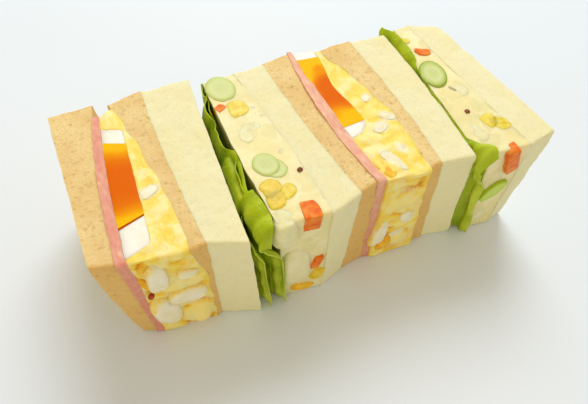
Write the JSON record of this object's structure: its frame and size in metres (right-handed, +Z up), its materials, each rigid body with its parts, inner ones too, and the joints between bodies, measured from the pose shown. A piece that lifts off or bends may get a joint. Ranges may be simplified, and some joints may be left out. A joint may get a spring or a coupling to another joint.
{
  "type": "ham egg and potato salad sandwich",
  "caption": "Row of cut sandwiches standing on edge as one block, cut faces up: bread slices round ham, boiled egg and egg salad, and round lettuce and potato salad.",
  "frame": {"origin": "middle of the row's underside, on the surface it stands on", "axes": "+X along the row of slices, towards the potato salad end; +Y towards the back ends of the slices; +Z up, out of the cut faces"},
  "size_m": [0.1631, 0.0716, 0.053],
  "materials": {
    "brown_bread": "matte",
    "white_bread": "matte",
    "ham": "satin",
    "egg_salad": "satin",
    "egg_white": "satin",
    "egg_yolk": "satin",
    "potato_salad": "satin",
    "lettuce": "satin",
    "green_spear": "satin",
    "carrot": "satin"
  },
  "bodies": {
    "root": {"brown_bread_1": "brown_bread", "brown_bread_2": "brown_bread", "brown_bread_3": "brown_bread", "brown_bread_4": "brown_bread", "white_bread_1": "white_bread", "white_bread_2": "white_bread", "white_bread_3": "white_bread", "white_bread_4": "white_bread", "ham_1": "ham", "ham_2": "ham", "egg_salad_1": "egg_salad", "egg_salad_2": "egg_salad", "egg_white_1": "egg_white", "egg_white_2": "egg_white", "egg_yolk_1": "egg_yolk", "egg_yolk_2": "egg_yolk", "potato_salad_1": "potato_salad", "potato_salad_2": "potato_salad", "lettuce_leaf_1": "lettuce", "lettuce_leaf_2": "lettuce", "lettuce_leaf_3": "lettuce", "lettuce_leaf_4": "lettuce", "lettuce_leaf_5": "lettuce", "green_spear_1": "green_spear", "green_spear_2": "green_spear", "green_spear_3": "green_spear", "green_spear_4": "green_spear", "carrot_dice_1": "carrot", "carrot_dice_2": "carrot", "carrot_dice_3": "carrot"}
  },
  "joints": []
}
